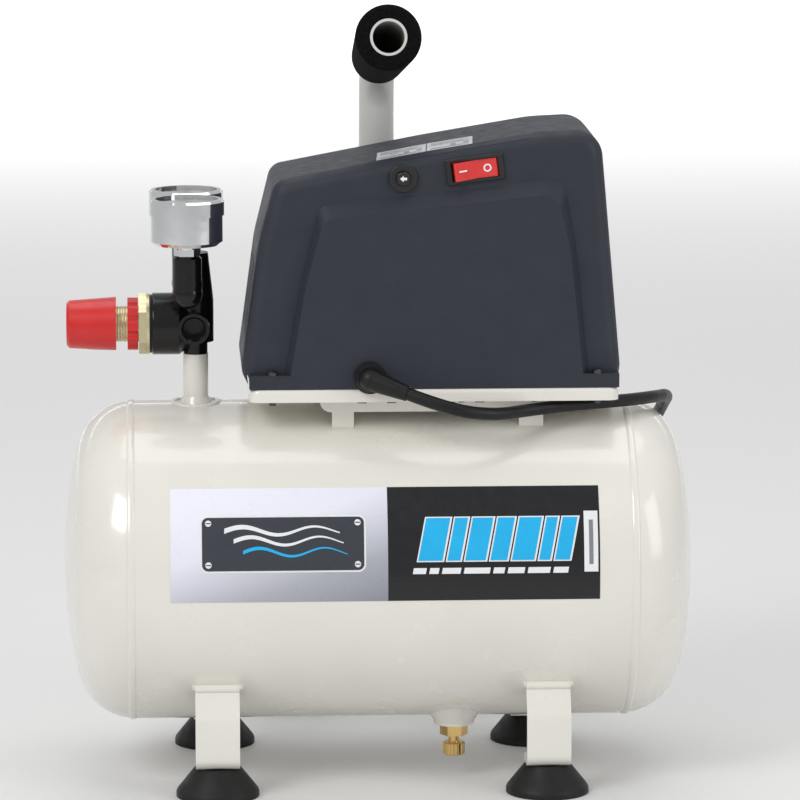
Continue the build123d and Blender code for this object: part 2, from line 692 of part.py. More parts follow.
with BuildPart() as rear_end_bell:
    turned(axle, (-42, -22, 42, 42), (-48, -42, 11.5, 11.5))
    turned(axle, (-38, -21, 38, 38), mode=Mode.SUBTRACT)
    turned(axle, (-47, -38, 8, 8), (-49, -46, shaft_r + 0.4, shaft_r + 0.4), mode=Mode.SUBTRACT)
    with Locations(axle.offset(-43)):
        with PolarLocations(24, 6, start_angle=30):
            Cylinder(6, 8, align=BOTTOM, mode=Mode.SUBTRACT)
        with PolarLocations(bolt_circle, 4, start_angle=45):
            Cylinder(1.9, 8, align=BOTTOM, mode=Mode.SUBTRACT)
    # Foot that carries the fan end of the motor
    block(-36, -26, -34, 34, plate_z, 232)
    turned(axle, (-37, -25, 42, 42), mode=Mode.SUBTRACT)
    turned(axle, (-38, -22, 42, 42))
    turned(axle, (-38, -21, 38, 38), mode=Mode.SUBTRACT)
finish(rear_end_bell, "rear_end_bell")

with BuildPart() as through_bolts:
    with Locations(axle.offset(-42)):
        with PolarLocations(bolt_circle, 4, start_angle=45):
            Cylinder(1.85, 80, align=BOTTOM)
    with Locations(axle.offset(-45)):
        with PolarLocations(bolt_circle, 4, start_angle=45):
            Cylinder(3.4, 3, align=BOTTOM)
finish(through_bolts, "through_bolts")

with BuildPart() as motor_capacitor:
    turned(facing(east, 0, 0, 321.5), (-20, 17, 9, 9))
    fillet(motor_capacitor.edges().filter_by(GeomType.CIRCLE), radius=1.5)
    block(-12, 14, -5, 5, 309, 316)
    turned(axle, (-22, 22, 40, 40), mode=Mode.SUBTRACT)
finish(motor_capacitor, "motor_capacitor")

# ---------------------------------------------------------------- pump

deck_z = 290.0
cylinder_top = 328.0
head_base = 331.0
head_top = 345.0
head_r = 29.0
head_bolt_circle = 25.6
crank_pin_z = motor_z - crank_throw
cylinder_line = facing((0, 0, 1), cylinder_x, 0, 0)

with BuildPart() as crankcase:
    # Deck under the cylinder, open for the rod and for the counterweight's swing
    block(36, 102, -31, 31, deck_z - 6, deck_z)
    turned(cylinder_line, (deck_z - 10, deck_z + 5, bore_r + 1.5, bore_r + 1.5), mode=Mode.SUBTRACT)
    block(50, 64, -18.5, 18.5, deck_z - 8, deck_z + 2, mode=Mode.SUBTRACT)
    turned(axle, (18, 40, 42, 42), (40, 50, 11, 11))
    turned(axle, (17, 36, 38, 38), mode=Mode.SUBTRACT)
    for side in (-1, 1):
        block(36, 94, side * 27 - 2.5, side * 27 + 2.5, plate_z, deck_z)
        block(36, 94, min(side * 27, side * 43), max(side * 27, side * 43), plate_z, plate_z + 5)
    block(36, 40, -29.5, 29.5, plate_z, motor_z)
    turned(axle, (30, 60, 8, 8), mode=Mode.SUBTRACT)
    with Locations(axle.offset(35)):
        with PolarLocations(bolt_circle, 4, start_angle=45):
            Cylinder(1.9, 8, align=BOTTOM, mode=Mode.SUBTRACT)
    with Locations(cylinder_line.offset(deck_z - 7)):
        with PolarLocations(head_bolt_circle, 4, start_angle=45):
            Cylinder(2.45, 10, align=BOTTOM, mode=Mode.SUBTRACT)
    with Locations(*[(x, y, plate_z) for x in foot_screw_x for y in foot_screw_y]):
        Cylinder(2.45, 20, mode=Mode.SUBTRACT)
finish(crankcase, "crankcase")

with BuildPart() as eccentric:
    turned(axle, (52, 61.8, 13, 13))
    with BuildSketch(Plane(origin=(52, 0, motor_z), x_dir=(0, 0, 1), z_dir=east)):
        with BuildLine():
            CenterArc((0, 0), counterweight_r, -70, 140)
            Polyline(
                (counterweight_r * cos(radians(70)), counterweight_r * sin(radians(70))),
                (0, 0),
                (counterweight_r * cos(radians(70)), -counterweight_r * sin(radians(70))),
            )
        make_face()
    extrude(amount=7)
    turned(axle, (50, 70, shaft_r, shaft_r), mode=Mode.SUBTRACT)
finish(eccentric, "eccentric")

with BuildPart() as piston_rod:
    turned(facing(east, 0, 0, crank_pin_z), (62.4, 67, 4, 4), (67, 77, 8.5, 8.5))
    block(cylinder_x - 4, cylinder_x + 4, -5, 5, crank_pin_z, 303)
    turned(cylinder_line, (302, 306, 20.2, 20.2), (306, 307.3, 12.0, 12.0), (307.3, 310, 16.0, 16.0))
finish(piston_rod, "piston_rod")

with BuildPart() as cup_seal:
    turned(cylinder_line, (306, 311, bore_r - running, bore_r - running))
    turned(cylinder_line, (307.3, 313, bore_r - 1.2, bore_r - 1.2), (305, 313, 12.0, 12.0), mode=Mode.SUBTRACT)
finish(cup_seal, "cup_seal")

with BuildPart() as cylinder:
    turned(cylinder_line, (deck_z, cylinder_top, bore_r + 2.5, bore_r + 2.5), (deck_z, deck_z + 3, 28.5, 28.5))
    for fin in range(6):
        turned(cylinder_line, (297 + 5.2 * fin, 298.8 + 5.2 * fin, 29.5, 29.5))
    turned(cylinder_line, (cylinder_top - 3, cylinder_top, head_r, head_r))
    turned(cylinder_line, (280, 340, bore_r, bore_r), mode=Mode.SUBTRACT)
    with Locations(cylinder_line.offset(280)):
        with PolarLocations(head_bolt_circle, 4, start_angle=45):
            Cylinder(2.45, 60, align=BOTTOM, mode=Mode.SUBTRACT)
finish(cylinder, "cylinder")

with BuildPart() as valve_plate:
    turned(cylinder_line, (cylinder_top, head_base, head_r, head_r))
    with Locations(cylinder_line.offset(cylinder_top - 1)):
        with PolarLocations(head_bolt_circle, 4, start_angle=45):
            Cylinder(2.45, 10, align=BOTTOM, mode=Mode.SUBTRACT)
        with PolarLocations(9, 6):
            Cylinder(1.6, 10, align=BOTTOM, mode=Mode.SUBTRACT)
    # Reed leaves, one above for outlet and one below for inlet
    block(cylinder_x + 3, cylinder_x + 16, -3.5, 3.5, head_base, head_base + 0.4)
    block(cylinder_x - 16, cylinder_x - 3, -3.5, 3.5, cylinder_top - 0.4, cylinder_top)
finish(valve_plate, "valve_plate")

port_z = 338.0

with BuildPart() as cylinder_head:
    turned(cylinder_line, (head_base, head_top - 4, head_r, head_r))
    for y in (-20, -12, -4, 4, 12, 20):
        half = sqrt(head_r**2 - (abs(y) + 1) ** 2)
        block(cylinder_x - half, cylinder_x + half, y - 1, y + 1, head_top - 4, head_top)
    with Locations(cylinder_line.offset(head_top - 4)):
        with PolarLocations(head_bolt_circle, 4, start_angle=45):
            Cylinder(5.2, 4, align=BOTTOM)
    block(cylinder_x - 22, cylinder_x - 1, -14, 14, head_base - 1, head_base + 6, mode=Mode.SUBTRACT)
    block(cylinder_x + 1, cylinder_x + 22, -14, 14, head_base - 1, head_base + 6, mode=Mode.SUBTRACT)
    turned(facing(east, cylinder_x, 0, port_z - 3.2), (10, 31, 3.0, 3.0), mode=Mode.SUBTRACT)
    turned(facing(west, cylinder_x, 0, port_z - 3.2), (10, 31, 3.0, 3.0), mode=Mode.SUBTRACT)
    with Locations(cylinder_line.offset(300)):
        with PolarLocations(head_bolt_circle, 4, start_angle=45):
            Cylinder(2.45, 60, align=BOTTOM, mode=Mode.SUBTRACT)
finish(cylinder_head, "cylinder_head")

with BuildPart() as machine_screws:
    with Locations(cylinder_line.offset(deck_z - 6)):
        with PolarLocations(head_bolt_circle, 4, start_angle=45):
            Cylinder(2.4, head_top - deck_z + 6, align=BOTTOM)
    with Locations(cylinder_line.offset(head_top)):
        with PolarLocations(head_bolt_circle, 4, start_angle=45):
            Cylinder(4.2, 4, align=BOTTOM)
    with Locations(*[(x, y, 213) for x in foot_screw_x for y in foot_screw_y]):
        Cylinder(2.4, 13.5, align=BOTTOM)
    with Locations(*[(x, y, plate_z + 5) for x in foot_screw_x for y in foot_screw_y]):
        Cylinder(4.2, 4, align=BOTTOM)
finish(machine_screws, "machine_screws")

with BuildPart() as intake_filter:
    filter_line = facing(west, cylinder_x, 0, port_z - 3.2)
    turned(filter_line, (24, 31, 2.95, 2.95), (head_r + 0.2, 46, 8.5, 8.5), (46, 48, 8.5, 6.5))
    turned(facing(west, cylinder_x, 0, port_z - 3.2), (20, 40, 1.8, 1.8), mode=Mode.SUBTRACT)
finish(intake_filter, "intake_filter")

with BuildPart() as discharge_tube:
    with BuildLine():
        FilletPolyline(
            (cylinder_x + 24, 0, port_z - 3.2),
            (valve_x, 0, port_z - 3.2),
            (valve_x, 0, 241),
            radius=7,
        )
    with BuildSketch(facing(east, cylinder_x + 24, 0, port_z - 3.2)):
        Circle(2.95)
        Circle(2.0, mode=Mode.SUBTRACT)
    sweep()
finish(discharge_tube, "discharge_tube")

with BuildPart() as check_valve:
    valve_line = facing((0, 0, 1), valve_x, 0, 0)
    turned(valve_line, (199, 224, 7.0, 7.0), (236, 247, 6.0, 6.0))
    with BuildSketch(valve_line.offset(224)):
        RegularPolygon(8.8, 6, major_radius=False)
    extrude(amount=12)
    turned(valve_line, (198, 236, 3.0, 3.0), (236, 241, 2.0, 2.0), (241, 250, 3.0, 3.0), mode=Mode.SUBTRACT)
finish(check_valve, "check_valve")

with BuildPart() as pressure_switch:
    turned(facing((0, 0, 1), pressure_x, pressure_y, 0), (197, 228, 6.0, 6.0), (222, 228, 7.5, 7.5))
    block(95, 120, 10.5, 36, 228, 262)
    fillet(pressure_switch.edges().filter_by(Axis.Z).filter_by(lambda e: e.length > 30), radius=2.5)
    turned(facing((0, 0, 1), pressure_x, pressure_y, 0), (190, 226, 2.5, 2.5), mode=Mode.SUBTRACT)
finish(pressure_switch, "pressure_switch")

# ---------------------------------------------------------------- mains cord

gland_x, gland_z = -6.4, 228.0
relief_direction = Vector(0.902, -0.301, -0.311).normalized()
relief_base = Vector(gland_x, -60.0, gland_z)
relief_length = 22.0
cord_exit = relief_base + relief_direction * relief_length

with BuildPart() as strain_relief:
    gland = facing(front, gland_x, 0, gland_z)
    turned(gland, (52, 56, 8.6, 8.6), (40, 52, 5.4, 5.4), (56, 58, 8.2, 6.8))
    with Locations(relief_base):
        Sphere(6.2)
    turned(Plane(origin=relief_base, z_dir=relief_direction), (0, relief_length, 6.1, 4.2))
    # Only the flange and the relief stand outside the wall
    block(-40, 40, -53.0, -43.0, 200, plate_z, mode=Mode.SUBTRACT)
finish(strain_relief, "strain_relief")

coil_bottom = coil_y - coil_turn_r - cord_r
coil_height = coil_layers * 2 * cord_r
cord_route = [
    cord_exit,
    cord_exit + relief_direction * 25,
    Vector(60, -66, 209.0),
    Vector(79, -52, 209.2),
    Vector(97, -44.5, 210.2),
    Vector(116, -39.5, 211.0),
    Vector(136, -28, 210.5),
    Vector(153, -8, 209.0),
    Vector(163, 18, 206.0),
    Vector(163, 47, 196.0),
    Vector(156, 80, 170.0),
    Vector(148, 101, 132.0),
    Vector(141, 112, 92.0),
    Vector(130, 121, 54.0),
    Vector(115, 129, 30.0),
    Vector(95, 136, 20.0),
    Vector(74, coil_bottom, coil_height - cord_r),
    Vector(58, coil_bottom, coil_height - cord_r),
]


def corner_radii(points):
    """The largest arc at each corner that its two runs allow."""
    radii = []
    for before, at, after in zip(points, points[1:], points[2:]):
        turn = (at - before).get_angle(after - at)
        run = min((at - before).length, (after - at).length)
        radii.append(0.45 * run / tan(radians(turn / 2)))
    return radii


cord_radii = corner_radii(cord_route)
print("cord radii", [round(r) for r in cord_radii])

plug_x = 2.0
plug_z = 11.0
tail_y = coil_bottom
plug_length = 36.0
plug_relief = 26.0
tail_route = [
    Vector(coil_x - 12, tail_y, cord_r),
    Vector(coil_x - 27, tail_y, cord_r),
    Vector(coil_x - 43, tail_y, plug_z),
    Vector(plug_x, tail_y, plug_z),
]

with BuildPart() as power_cord:
    with BuildLine() as cord_line:
        FilletPolyline(*cord_route, radius=cord_radii)
    with BuildSketch(Plane(origin=cord_exit, z_dir=cord_line.line % 0)):
        Circle(cord_r)
    sweep()
    # The short end between the coil and the plug
    with BuildLine() as tail_line:
        FilletPolyline(*tail_route, radius=corner_radii(tail_route))
    with BuildSketch(facing(west, *tail_route[0])):
        Circle(cord_r)
    sweep(path=tail_line.line)
finish(power_cord, "power_cord")

with BuildPart() as cord_coil:
    turned(
        facing((0, 0, 1), coil_x, coil_y, 0),
        (0, coil_height, coil_turn_r + 2 * cord_r, coil_turn_r + 2 * cord_r),
    )
    fillet(cord_coil.edges().filter_by(GeomType.CIRCLE), radius=cord_r - 0.1)
    turned(
        facing((0, 0, 1), coil_x, coil_y, 0),
        (-1, coil_height + 1, coil_turn_r - 2 * cord_r, coil_turn_r - 2 * cord_r),
        mode=Mode.SUBTRACT,
    )
finish(cord_coil, "cord_coil")

plug_line = facing(west, plug_x, tail_y, plug_z)

with BuildPart() as plug_body:
    turned(plug_line, (0, plug_relief, 4.2, 6.4))
    with BuildSketch(plug_line.offset(plug_relief)):
        RectangleRounded(22, 20, 6)
    extrude(amount=plug_length)
    fillet(plug_body.edges().filter_by(GeomType.CIRCLE, reverse=True).group_by(Axis.X)[0], radius=1.0)
finish(plug_body, "plug_body")

with BuildPart() as plug_blades:
    for y in (-6.35, 6.35):
        block(
            plug_x - plug_relief - plug_length - 17, plug_x - plug_relief - plug_length,
            tail_y + y - 0.75, tail_y + y + 0.75,
            plug_z - 3.2, plug_z + 3.2,
        )
finish(plug_blades, "plug_blades")

cord_length = sum(edge.length for edge in cord_line.line.edges())
tail_length = sum(edge.length for edge in tail_line.line.edges())
tube_volume = (cord_length + tail_length) * pi * cord_r**2
print("cord volume ratio", round(power_cord.part.volume / tube_volume, 5))
# Three outer turns and two inner ones
coil_length = 2 * pi * (3 * (coil_turn_r + cord_r) + 2 * (coil_turn_r - cord_r))
print("cord length", round(cord_length), round(coil_length), round(tail_length))
print("cord in all", round(cord_length + coil_length + tail_length))
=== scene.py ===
import bmesh
import bpy
from math import asin, cos, pi, radians, sin
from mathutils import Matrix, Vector
from mathutils.bvhtree import BVHTree


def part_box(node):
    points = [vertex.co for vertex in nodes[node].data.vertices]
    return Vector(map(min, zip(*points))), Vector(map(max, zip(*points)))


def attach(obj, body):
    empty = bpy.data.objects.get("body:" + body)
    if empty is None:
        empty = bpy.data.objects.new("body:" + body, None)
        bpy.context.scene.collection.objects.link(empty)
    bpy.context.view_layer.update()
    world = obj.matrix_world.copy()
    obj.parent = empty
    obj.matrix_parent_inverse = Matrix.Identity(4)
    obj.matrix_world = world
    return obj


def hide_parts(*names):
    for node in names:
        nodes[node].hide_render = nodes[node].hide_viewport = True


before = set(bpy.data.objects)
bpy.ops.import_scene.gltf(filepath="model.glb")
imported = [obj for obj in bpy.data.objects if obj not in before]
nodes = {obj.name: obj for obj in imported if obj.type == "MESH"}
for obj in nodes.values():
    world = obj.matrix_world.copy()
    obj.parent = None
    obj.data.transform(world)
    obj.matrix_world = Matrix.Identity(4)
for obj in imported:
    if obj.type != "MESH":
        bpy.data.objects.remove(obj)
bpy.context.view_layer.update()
scene = bpy.context.scene
MM = 0.001

# Sizes shared with the CAD model, in metres
tank_low, tank_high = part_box("tank_shell")
tank_r = (tank_high.y - tank_low.y) / 2
tank_z = (tank_low.z + tank_high.z) / 2
CORD_R = 3.5 * MM

# Places of the controls and fittings, in millimetres
SWITCH_CENTRE = (50.6, -44.0, 340.2)
SWITCH_TILT = radians(7.3)
BUTTON_CENTRE = (11.9, -44.0, 335.6)
SHROUD_TOP_EDGE = (-46.0, 345.0)
SHROUD_TOP_SLOPE = 0.13
DIAL_X, DIAL_Z = -104.5, 314.1
RISER_X, RISER_WELD_R = -100, 12.6
STRAP_X, STRAP_WELD_Y, STRAP_WELD_HALF = 90, 65.5, 13.5


# ---------------------------------------------------------------- camera

def make_camera():
    data = bpy.data.cameras.new("camera")
    data.sensor_width = 36
    data.lens = 223.2
    data.clip_end = 20
    camera = bpy.data.objects.new("camera", data)
    camera.location = (-0.1225, -2.6972, 0.652)
    camera.rotation_euler = (radians(90 - 9.36), 0, -radians(2.866))
    scene.collection.objects.link(camera)
    scene.camera = camera


# ---------------------------------------------------------------- mains cord

RELIEF_BASE = Vector((-6.4, -60.0, 228.0))
RELIEF_DIRECTION = Vector((0.902, -0.301, -0.311)).normalized()
COIL_CENTRE = Vector((58.0, 184.0, 0.0))
COIL_OUTER, COIL_INNER = 42.0, 35.0
COIL_POINTS = 12
COIL_TURNS = 5


def ease(t):
    t = min(1.0, max(0.0, t))
    return t * t * (3 - 2 * t)


def coil_points():
    """Five turns, wound clockwise from the top: outer, inner, inner, outer, outer."""
    # Each step is (degrees where it starts, change of radius, change of height), over 60 degrees
    steps = (
        (290, COIL_INNER - COIL_OUTER, 0),
        (360 + 230, 0, -7),
        (720 + 170, COIL_OUTER - COIL_INNER, 0),
        (1080 + 110, 0, -7),
    )
    points = []
    for k in range(1, COIL_TURNS * COIL_POINTS):
        turn = 360 * k / COIL_POINTS
        r, z = COIL_OUTER, 17.5
        for start, dr, dz in steps:
            r += dr * ease((turn - start) / 60)
            z += dz * ease((turn - start) / 60)
        r /= 0.966
        angle = radians(-90 - turn)
        points.append(COIL_CENTRE + Vector((r * cos(angle), r * sin(angle), z)))
    return points


def cord_points():
    """The whole route in millimetres: out of the relief, round the end of the tank, the coil, the tail."""
    way = [
        RELIEF_BASE + RELIEF_DIRECTION * 22,
        RELIEF_BASE + RELIEF_DIRECTION * 47,
        Vector((60, -66, 209.0)),
        Vector((79, -52, 209.2)),
        Vector((97, -44.5, 210.2)),
        Vector((116, -39.5, 211.0)),
        Vector((136, -28, 210.5)),
        Vector((153, -8, 209.0)),
        Vector((163, 18, 206.0)),
        Vector((163, 47, 196.0)),
        Vector((156, 80, 170.0)),
        Vector((148, 101, 132.0)),
        Vector((141, 112, 92.0)),
        Vector((130, 121, 54.0)),
        Vector((115, 129, 30.0)),
        Vector((95, 136, 20.0)),
        Vector((74, 142, 17.5)),
    ]
    tail = [
        Vector((46, 142, 3.5)),
        Vector((31, 142, 3.5)),
        Vector((15, 142, 11)),
        Vector((2, 142, 11)),
    ]
    return way + coil_points() + tail


def make_cord():
    curve = bpy.data.curves.new("mains_cord", "CURVE")
    curve.dimensions = "3D"
    curve.bevel_depth = CORD_R
    curve.bevel_resolution = 5
    curve.resolution_u = 10
    curve.use_fill_caps = True
    points = cord_points()
    spline = curve.splines.new("NURBS")
    spline.points.add(len(points) - 1)
    for point, place in zip(spline.points, points):
        point.co = (*(place * MM), 1)
    spline.order_u = 3
    spline.use_endpoint_u = True
    cord = bpy.data.objects.new("mains_cord", curve)
    scene.collection.objects.link(cord)
    cord.data.materials.append(LOOKS["cord"])
    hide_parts("power_cord", "cord_coil")
    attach(cord, "frame")


# ---------------------------------------------------------------- materials

LOOKS = {}


class Look:
    """A principled material with its colour, roughness and relief made by nodes in object space."""

    def __init__(self, name, rough=0.5, metal=0.0, coat=0.0, coat_rough=0.08, specular=0.5):
        self.material = bpy.data.materials.new(name)
        self.material.use_nodes = True
        self.tree = self.material.node_tree
        self.shader = self.tree.nodes["Principled BSDF"]
        self.shader.inputs["Roughness"].default_value = rough
        self.shader.inputs["Metallic"].default_value = metal
        self.shader.inputs["Coat Weight"].default_value = coat
        self.shader.inputs["Coat Roughness"].default_value = coat_rough
        self.shader.inputs["Specular IOR Level"].default_value = specular
        self.place = self.node("ShaderNodeTexCoord").outputs["Object"]
        self.normal = None
        LOOKS[name] = self.material

    def node(self, kind, **settings):
        made = self.tree.nodes.new(kind)
        for key, value in settings.items():
            setattr(made, key, value)
        return made

    def link(self, a, b):
        self.tree.links.new(a, b)

    def stretched(self, scale):
        mapping = self.node("ShaderNodeMapping")
        mapping.inputs["Scale"].default_value = scale
        self.link(self.place, mapping.inputs["Vector"])
        return mapping.outputs["Vector"]

    def noise(self, scale, detail=3.0, stretch=None):
        made = self.node("ShaderNodeTexNoise")
        made.inputs["Scale"].default_value = scale
        made.inputs["Detail"].default_value = detail
        self.link(self.stretched(stretch) if stretch else self.place, made.inputs["Vector"])
        return made.outputs["Fac"]

    def cells(self, scale, feature="F1"):
        made = self.node("ShaderNodeTexVoronoi", feature=feature)
        made.inputs["Scale"].default_value = scale
        self.link(self.place, made.inputs["Vector"])
        return made.outputs["Distance"]

    def colour(self, stops, source):
        """A colour ramp over a pattern: stops are (place, (r, g, b))."""
        ramp = self.node("ShaderNodeValToRGB")
        while len(ramp.color_ramp.elements) < len(stops):
            ramp.color_ramp.elements.new(0.5)
        for element, (at, shade) in zip(ramp.color_ramp.elements, stops):
            element.position = at
            element.color = (*shade, 1)
        self.link(source, ramp.inputs["Fac"])
        self.link(ramp.outputs["Color"], self.shader.inputs["Base Color"])
        return self

    def roughness(self, low, high, source):
        spread = self.node("ShaderNodeMapRange")
        spread.inputs["From Min"].default_value = 0.3
        spread.inputs["From Max"].default_value = 0.7
        spread.inputs["To Min"].default_value = low
        spread.inputs["To Max"].default_value = high
        self.link(source, spread.inputs["Value"])
        self.link(spread.outputs["Result"], self.shader.inputs["Roughness"])
        return self

    def relief(self, height, distance, strength=1.0):
        """Adds a bump; further calls stack on the earlier ones."""
        bump = self.node("ShaderNodeBump")
        bump.inputs["Distance"].default_value = distance
        bump.inputs["Strength"].default_value = strength
        self.link(height, bump.inputs["Height"])
        if self.normal:
            self.link(self.normal, bump.inputs["Normal"])
        self.normal = bump.outputs["Normal"]
        self.link(self.normal, self.shader.inputs["Normal"])
        return self


def shade(colour, factor):
    return tuple(min(1.0, c * factor) for c in colour)


def two_tone(look, colour, scale, spread=0.06, stretch=None):
    """Slight uneven tone about one colour."""
    stops = [(0.3, shade(colour, 1 - spread)), (0.7, shade(colour, 1 + spread))]
    return look.colour(stops, look.noise(scale, 4.0, stretch))


def gloss_paint(name, colour, rough=0.22):
    look = Look(name, rough, coat=0.6, coat_rough=0.06)
    two_tone(look, colour, 18, 0.025)
    look.roughness(rough - 0.05, rough + 0.08, look.noise(35))
    look.relief(look.noise(260, 1.5), 0.00004).relief(look.noise(9, 1.0), 0.0002, 0.3)


def moulded_plastic(name, colour, rough, grain, depth, specular=0.5):
    """Injection-moulded plastic with a spark-eroded grain."""
    look = Look(name, rough, specular=specular)
    two_tone(look, colour, 60, 0.07)
    look.roughness(rough - 0.06, rough + 0.08, look.noise(140))
    look.relief(look.cells(grain), depth).relief(look.noise(30, 2.0), 0.00025, 0.5)


def gloss_plastic(name, colour, rough=0.25, subsurface=0.0):
    look = Look(name, rough, coat=0.3, coat_rough=0.1)
    look.shader.inputs["Subsurface Weight"].default_value = subsurface
    look.shader.inputs["Subsurface Radius"].default_value = (0.004, 0.0008, 0.0006)
    look.shader.inputs["Subsurface Scale"].default_value = 0.5
    two_tone(look, colour, 90, 0.06)
    look.roughness(rough - 0.05, rough + 0.1, look.noise(220))
    look.relief(look.noise(700, 2.0), 0.00004)


def rubber(name, colour, rough, dust=0.4):
    """Black rubber with a slight grey bloom in patches."""
    look = Look(name, rough, specular=0.35)
    stops = [(0.35, colour), (0.75, shade(colour, 1 + dust))]
    look.colour(stops, look.noise(55, 6.0))
    look.roughness(rough - 0.08, rough + 0.12, look.noise(160))
    look.relief(look.noise(1400, 2.0), 0.00005)


def foam():
    """Open-cell foam: pits of two sizes in dull black."""
    look = Look("foam", 0.95, specular=0.08)
    look.colour([(0.1, (0.002, 0.002, 0.002)), (0.7, (0.006, 0.006, 0.007))], look.cells(900))
    look.roughness(0.88, 1.0, look.noise(400))
    look.relief(look.cells(850), 0.0004).relief(look.noise(120, 4.0), 0.0006, 0.7)


def machined_metal(name, colour, rough, stretch, lines=900.0, spread=0.08, depth=0.00003):
    """Bare metal with fine tool marks, long in the directions where stretch is small."""
    look = Look(name, rough, metal=1.0)
    two_tone(look, colour, 70, spread)
    look.roughness(rough - 0.08, rough + 0.12, look.noise(lines / 3, 3.0, stretch))
    look.relief(look.noise(lines, 2.0, stretch), depth).relief(look.noise(180, 3.0), 0.00006, 0.6)


def cast_metal(name, colour, rough):
    look = Look(name, rough, metal=1.0)
    two_tone(look, colour, 45, 0.12)
    look.roughness(rough - 0.1, rough + 0.1, look.noise(120))
    look.relief(look.noise(900, 5.0), 0.00012).relief(look.cells(500), 0.00005)


def chrome():
    look = Look("chrome", 0.06, metal=1.0)
    two_tone(look, (0.78, 0.79, 0.80), 40, 0.03)
    look.roughness(0.03, 0.1, look.noise(90))
    look.relief(look.noise(60, 2.0), 0.00012, 0.5)


def black_casting():
    """Gloss black paint over a slightly rough zinc casting."""
    look = Look("black_casting", 0.2, coat=0.15, coat_rough=0.05, specular=0.3)
    two_tone(look, (0.003, 0.003, 0.004), 60, 0.3)
    look.roughness(0.14, 0.3, look.noise(120))
    look.relief(look.noise(420, 4.0), 0.0001).relief(look.noise(70, 2.0), 0.0003, 0.4)


def laminations():
    """Stacked electrical steel: half-millimetre sheets across the motor's axis."""
    look = Look("laminations", 0.45, metal=1.0)
    sheets = look.node("ShaderNodeTexWave", bands_direction="X")
    sheets.inputs["Scale"].default_value = 320
    sheets.inputs["Distortion"].default_value = 0.6
    look.link(look.place, sheets.inputs["Vector"])
    look.colour([(0.2, (0.16, 0.16, 0.17)), (0.6, (0.36, 0.36, 0.37))], sheets.outputs["Fac"])
    look.roughness(0.35, 0.55, look.noise(200))
    look.relief(sheets.outputs["Fac"], 0.0002)


def winding():
    """Enamelled copper wire in close turns."""
    look = Look("winding", 0.3, metal=1.0, coat=0.5)
    wires = look.node("ShaderNodeTexWave", wave_type="RINGS", rings_direction="X")
    wires.inputs["Scale"].default_value = 330
    wires.inputs["Distortion"].default_value = 1.5
    look.link(look.place, wires.inputs["Vector"])
    look.colour([(0.2, (0.22, 0.06, 0.02)), (0.7, (0.62, 0.24, 0.09))], wires.outputs["Fac"])
    look.roughness(0.25, 0.4, look.noise(300))
    look.relief(wires.outputs["Fac"], 0.0003)


def lens():
    look = Look("lens", 0.03)
    look.shader.inputs["Transmission Weight"].default_value = 1.0
    look.shader.inputs["IOR"].default_value = 1.45
    two_tone(look, (0.97, 0.98, 0.98), 30, 0.01)
    look.roughness(0.0, 0.04, look.noise(100))


def printed(name, colour, rough=0.35, coat=0.4, spread=0.03, metal=0.0):
    """Ink or vinyl film."""
    look = Look(name, rough, metal=metal, coat=coat, coat_rough=0.12)
    two_tone(look, colour, 80, spread)
    look.roughness(rough - 0.05, rough + 0.07, look.noise(160))
    look.relief(look.noise(500, 2.0), 0.00003)


def silver_film_painted_reflection():
    """The label's silver half, with painted reflection and shade in its colour: light above and darker
    towards its lower right corner.
    """
    look = Look("silver_film_painted_reflection", 0.3, coat=0.5, coat_rough=0.1)
    # Painted reflection and shade: the base colour is light at the upper left and dark towards the lower
    # right
    mixed = look.node("ShaderNodeVectorMath", operation="DOT_PRODUCT")
    mixed.inputs[1].default_value = (-4.4, 0, 12.5)
    look.link(look.place, mixed.inputs[0])
    painted_reflection_fade = look.node("ShaderNodeMapRange")
    painted_reflection_fade.inputs["From Min"].default_value = 1.3
    painted_reflection_fade.inputs["From Max"].default_value = 2.5
    look.link(mixed.outputs["Value"], painted_reflection_fade.inputs["Value"])
    stops = [
        (0.0, (0.20, 0.21, 0.25)),
        (0.35, (0.42, 0.43, 0.49)),
        (0.7, (0.82, 0.83, 0.93)),
        (1.0, (0.86, 0.87, 0.96)),
    ]
    look.colour(stops, painted_reflection_fade.outputs["Result"])
    look.roughness(0.26, 0.36, look.noise(160))
    look.relief(look.noise(400, 2.0), 0.00003)


